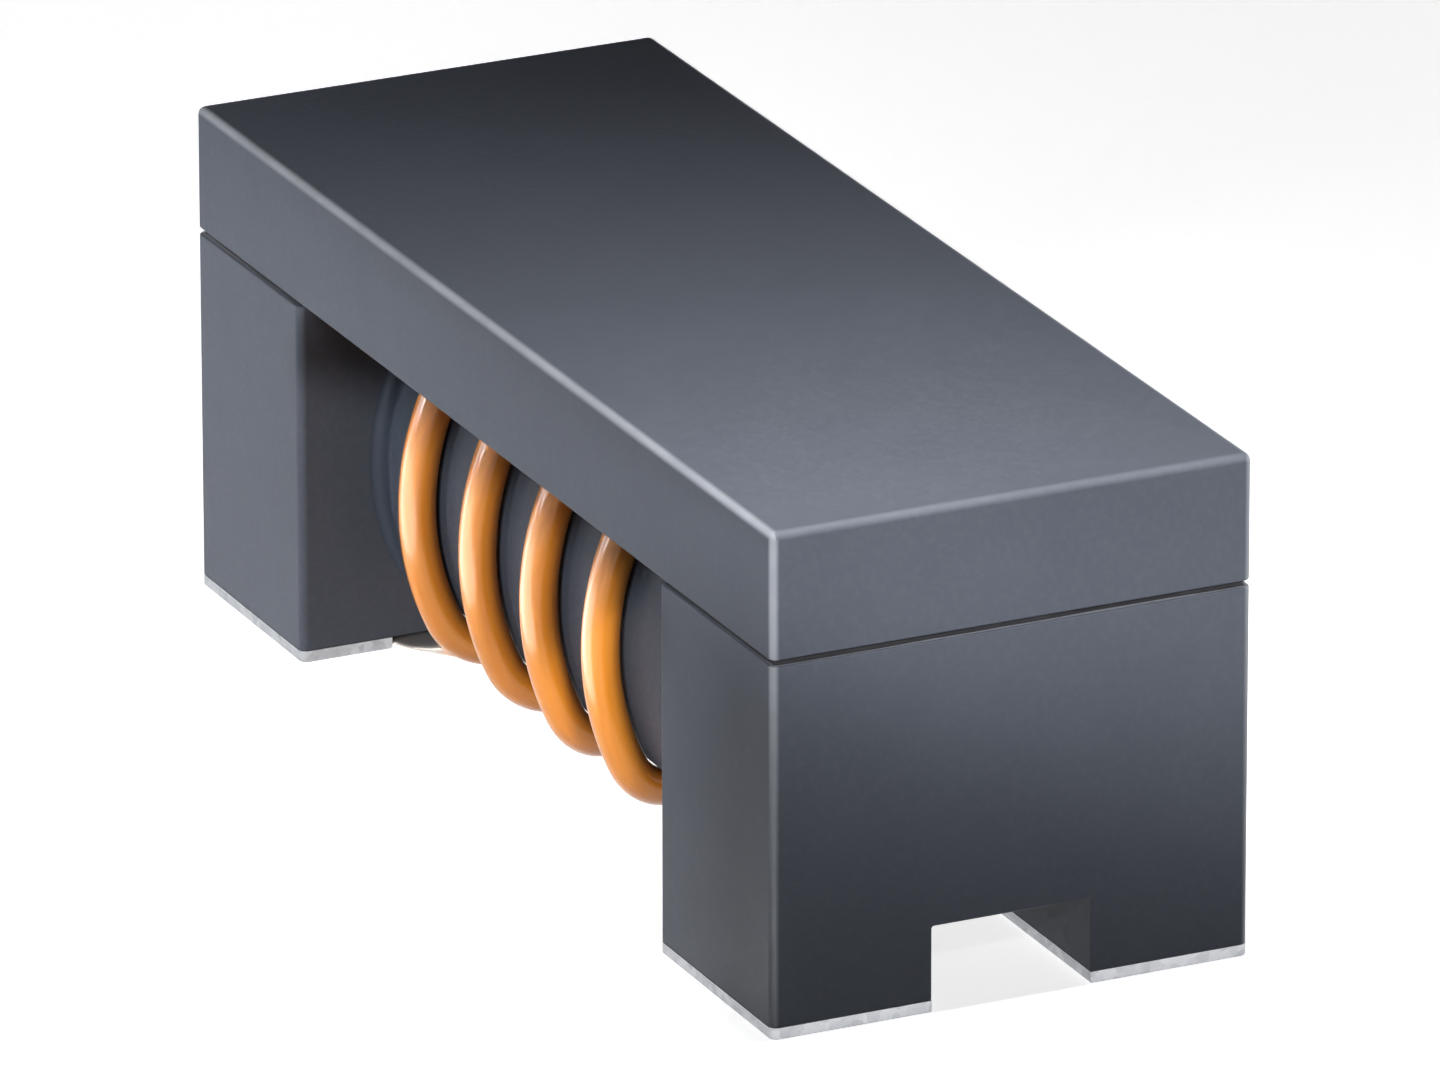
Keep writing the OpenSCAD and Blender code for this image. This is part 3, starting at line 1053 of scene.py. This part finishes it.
def view_axes(azimuth, elevation, roll):
    """The camera's right, up and back directions."""
    back = Vector(
        (
            math.sin(azimuth) * math.cos(elevation),
            -math.cos(azimuth) * math.cos(elevation),
            math.sin(elevation),
        )
    )
    right = Vector((math.cos(azimuth), math.sin(azimuth), 0.0))
    up = back.cross(right)
    cos, sin = math.cos(roll), math.sin(roll)
    return cos * right + sin * up, cos * up - sin * right, back


def add_camera(stage):
    """The camera, at the stage's angles and distance from the point that it looks at."""
    camera = new_object("camera", bpy.data.cameras.new("camera"))
    right, up, back = view_axes(stage.azimuth, stage.elevation, stage.roll)
    turn = Matrix((right, up, back)).transposed()
    camera.matrix_world = Matrix.Translation(Vector(stage.aim) + back * stage.distance) @ turn.to_4x4()
    camera.data.lens = stage.lens
    camera.data.sensor_width = SENSOR_WIDTH
    camera.data.clip_start, camera.data.clip_end = CLIP_NEAR, CLIP_FAR
    bpy.context.scene.camera = camera


def add_lamp(name, place, aim, width, height, power, spread_degrees=180):
    """A soft rectangular lamp at a place in millimetres, facing a point. A grid narrows its spread."""
    data = bpy.data.lights.new(name, "AREA")
    data.shape = "RECTANGLE"
    data.size, data.size_y = width * MM, height * MM
    data.energy = power
    data.spread = math.radians(spread_degrees)
    lamp = new_object(name, data)
    turn = (Vector(aim) - Vector(place)).to_track_quat("-Z", "Y")
    lamp.matrix_world = Matrix.Translation(Vector(place) * MM) @ turn.to_matrix().to_4x4()
    lamp.visible_camera = False


def seen_ray(tree):
    """1 for rays that show the background itself, in the camera, in a reflection or through glass."""
    kinds = tree.nodes.new("ShaderNodeLightPath").outputs
    seen = calculate(tree, "MAXIMUM", kinds["Is Camera Ray"], kinds["Is Glossy Ray"])
    return calculate(tree, "MAXIMUM", seen, kinds["Is Transmission Ray"])


def add_world(ambient):
    """White where it is seen, and a weaker even light everywhere else."""
    world = bpy.data.worlds.new("studio")
    bpy.context.scene.world = world
    tree = empty_tree(world)
    output = tree.nodes.new("ShaderNodeOutputWorld")
    background = tree.nodes.new("ShaderNodeBackground")
    tree.links.new(spread(tree, seen_ray(tree), ambient, 1.0), background.inputs["Strength"])
    tree.links.new(background.outputs["Background"], output.inputs["Surface"])


def floor_material(stage):
    """A plain pale floor that keeps the part's shadow, and that can be looked through from below."""
    material = bpy.data.materials.new("Pale floor")
    tree = empty_tree(material)
    output = tree.nodes.new("ShaderNodeOutputMaterial")
    matt = tree.nodes.new("ShaderNodeBsdfDiffuse")
    tree.links.new(blend(tree, seen_ray(tree), stage.floor_bounce, stage.floor), matt.inputs["Color"])
    white = tree.nodes.new("ShaderNodeEmission")
    glow = calculate(tree, "MULTIPLY", seen_ray(tree), stage.floor_white)
    tree.links.new(glow, white.inputs["Strength"])
    clear = tree.nodes.new("ShaderNodeBsdfTransparent")
    below = tree.nodes.new("ShaderNodeNewGeometry").outputs["Backfacing"]
    top = tree.nodes.new("ShaderNodeAddShader")
    tree.links.new(matt.outputs["BSDF"], top.inputs[0])
    tree.links.new(white.outputs["Emission"], top.inputs[1])
    both = tree.nodes.new("ShaderNodeMixShader")
    tree.links.new(below, both.inputs["Fac"])
    tree.links.new(top.outputs["Shader"], both.inputs[1])
    tree.links.new(clear.outputs["BSDF"], both.inputs[2])
    tree.links.new(both.outputs["Shader"], output.inputs["Surface"])
    return material


def four_sided(name, corners, material):
    """An object of one face through four corners in metres."""
    mesh = bpy.data.meshes.new(name)
    mesh.from_pydata(corners, [], [(0, 1, 2, 3)])
    mesh.materials.append(material)
    return new_object(name, mesh)


def add_floor(stage):
    """The square floor, just under the terminals."""
    reach = stage.floor_size / 2
    floor = four_sided("floor", [(i * reach, j * reach, 0) for i, j in CORNERS], floor_material(stage))
    floor.location.z = -FLOOR_DROP


def card_material(name, grey, glow):
    """A plain card of one shade of grey that may glow."""
    material = bpy.data.materials.new(name)
    material.use_nodes = True
    set_inputs(
        material.node_tree.nodes["Principled BSDF"],
        {
            "Base Color": (grey, grey, grey, 1.0),
            "Emission Color": (1.0, 1.0, 1.0, 1.0),
            "Emission Strength": glow,
        },
    )
    return material


def add_card(name, material, seen_by, corners, lit_pieces=()):
    """A studio card with corners in millimetres, met only by rays of the kind seen_by.

    Where it lights only some pieces, lit_pieces names them.
    """
    card = four_sided(name, [Vector(p) * MM for p in corners], material)
    for ray in RAY_KINDS:
        setattr(card, f"visible_{ray}", ray == seen_by)
    if lit_pieces:
        chosen = bpy.data.collections.new(name)
        for piece in lit_pieces:
            chosen.objects.link(bpy.data.objects[piece])
        card.light_linking.receiver_collection = chosen


def upright(y, x0, x1, z0, z1):
    """Corners of an upright card along X."""
    return (x0, y, z0), (x1, y, z0), (x1, y, z1), (x0, y, z1)


def add_cards(stage):
    """Cards that the ferrite and the wires mirror, and flags that shade some places from the front lamp."""
    black = card_material("Black card", BLACK_SHADE, 0.0)
    light = card_material("Light card", LIGHT_SHADE, LIGHT_GLOW)
    right, _, back = view_axes(stage.azimuth, stage.elevation, stage.roll)
    away = Vector((-back.x, -back.y, 0.0)).normalized()
    foot = Vector((CORE_LOW.x / MM, 0.0, 0.0)) + SHEEN_GAP * away
    across, height = SHEEN_REACH * right, Vector((0.0, 0.0, SHEEN_HEIGHT))
    sheen = (foot - across, foot + across, foot + across + height, foot - across + height)
    add_card("sheen_card", black, "glossy", sheen)
    add_card("stripe_card", light, "glossy", STRIPE_CARD, ("wire_1", "wire_2"))
    add_card("glint_card", light, "glossy", GLINT_CARD, ("ferrite_core", "ferrite_cover"))
    add_card("near_end_flag", black, "shadow", upright(*NEAR_END_FLAG))
    add_card("cover_flag", black, "shadow", upright(*COVER_FLAG))
    add_card("eave_flag", black, "shadow", EAVE_FLAG)


class CHOKE_OT_stage(bpy.types.Operator):
    """Makes the camera, the pale floor and the studio light"""

    bl_idname = "choke.stage"
    bl_label = "Stage"

    def execute(self, context):
        scene = context.scene
        stage = scene.choke_stage
        scene.view_settings.view_transform = "Standard"
        add_camera(stage)
        add_world(stage.ambient)
        add_floor(stage)
        add_cards(stage)
        for lamp in LAMPS:
            add_lamp(*lamp)
        return {"FINISHED"}


# Registration


class CHOKE_PT_panel(bpy.types.Panel):
    """Lists the choke's pieces, sizes and finishes"""

    bl_idname = "CHOKE_PT_panel"
    bl_label = "Common Mode Choke"
    bl_space_type = "VIEW_3D"
    bl_region_type = "UI"
    bl_category = "Choke"

    def draw(self, context):
        for name in GROUPS:
            box = self.layout.box()
            if name in MAKERS:
                box.operator(MAKERS[name])
            group = getattr(context.scene, name)
            for item in own_settings(group):
                box.prop(group, item.identifier)


# Operator that each group of settings belongs to
MAKERS = {
    "choke_core": "choke.drum_core",
    "choke_cover": "choke.cover",
    "choke_winding": "choke.windings",
    "choke_terminal": "choke.terminals",
    "choke_stage": "choke.stage",
}

GROUPS = {
    "choke_core": ChokeCore,
    "choke_cover": ChokeCover,
    "choke_winding": ChokeWinding,
    "choke_terminal": ChokeTerminal,
    "choke_finish": ChokeFinish,
    "choke_stage": ChokeStage,
}

CLASSES = (
    *GROUPS.values(),
    CHOKE_OT_drum_core,
    CHOKE_OT_cover,
    CHOKE_OT_windings,
    CHOKE_OT_terminals,
    CHOKE_OT_stage,
    CHOKE_PT_panel,
)


def register():
    """Adds the classes, and the groups of settings to the scene."""
    for item in CLASSES:
        bpy.utils.register_class(item)
    for name, group in GROUPS.items():
        setattr(bpy.types.Scene, name, PointerProperty(type=group))


def unregister():
    """Takes the groups and the classes away again."""
    for name in GROUPS:
        delattr(bpy.types.Scene, name)
    for item in reversed(CLASSES):
        bpy.utils.unregister_class(item)


def main():
    """Makes the pieces and the stage."""
    register()
    bpy.ops.choke.drum_core()
    bpy.ops.choke.cover()
    bpy.ops.choke.windings()
    bpy.ops.choke.terminals()
    bpy.ops.choke.stage()


if __name__ == "__main__":
    main()
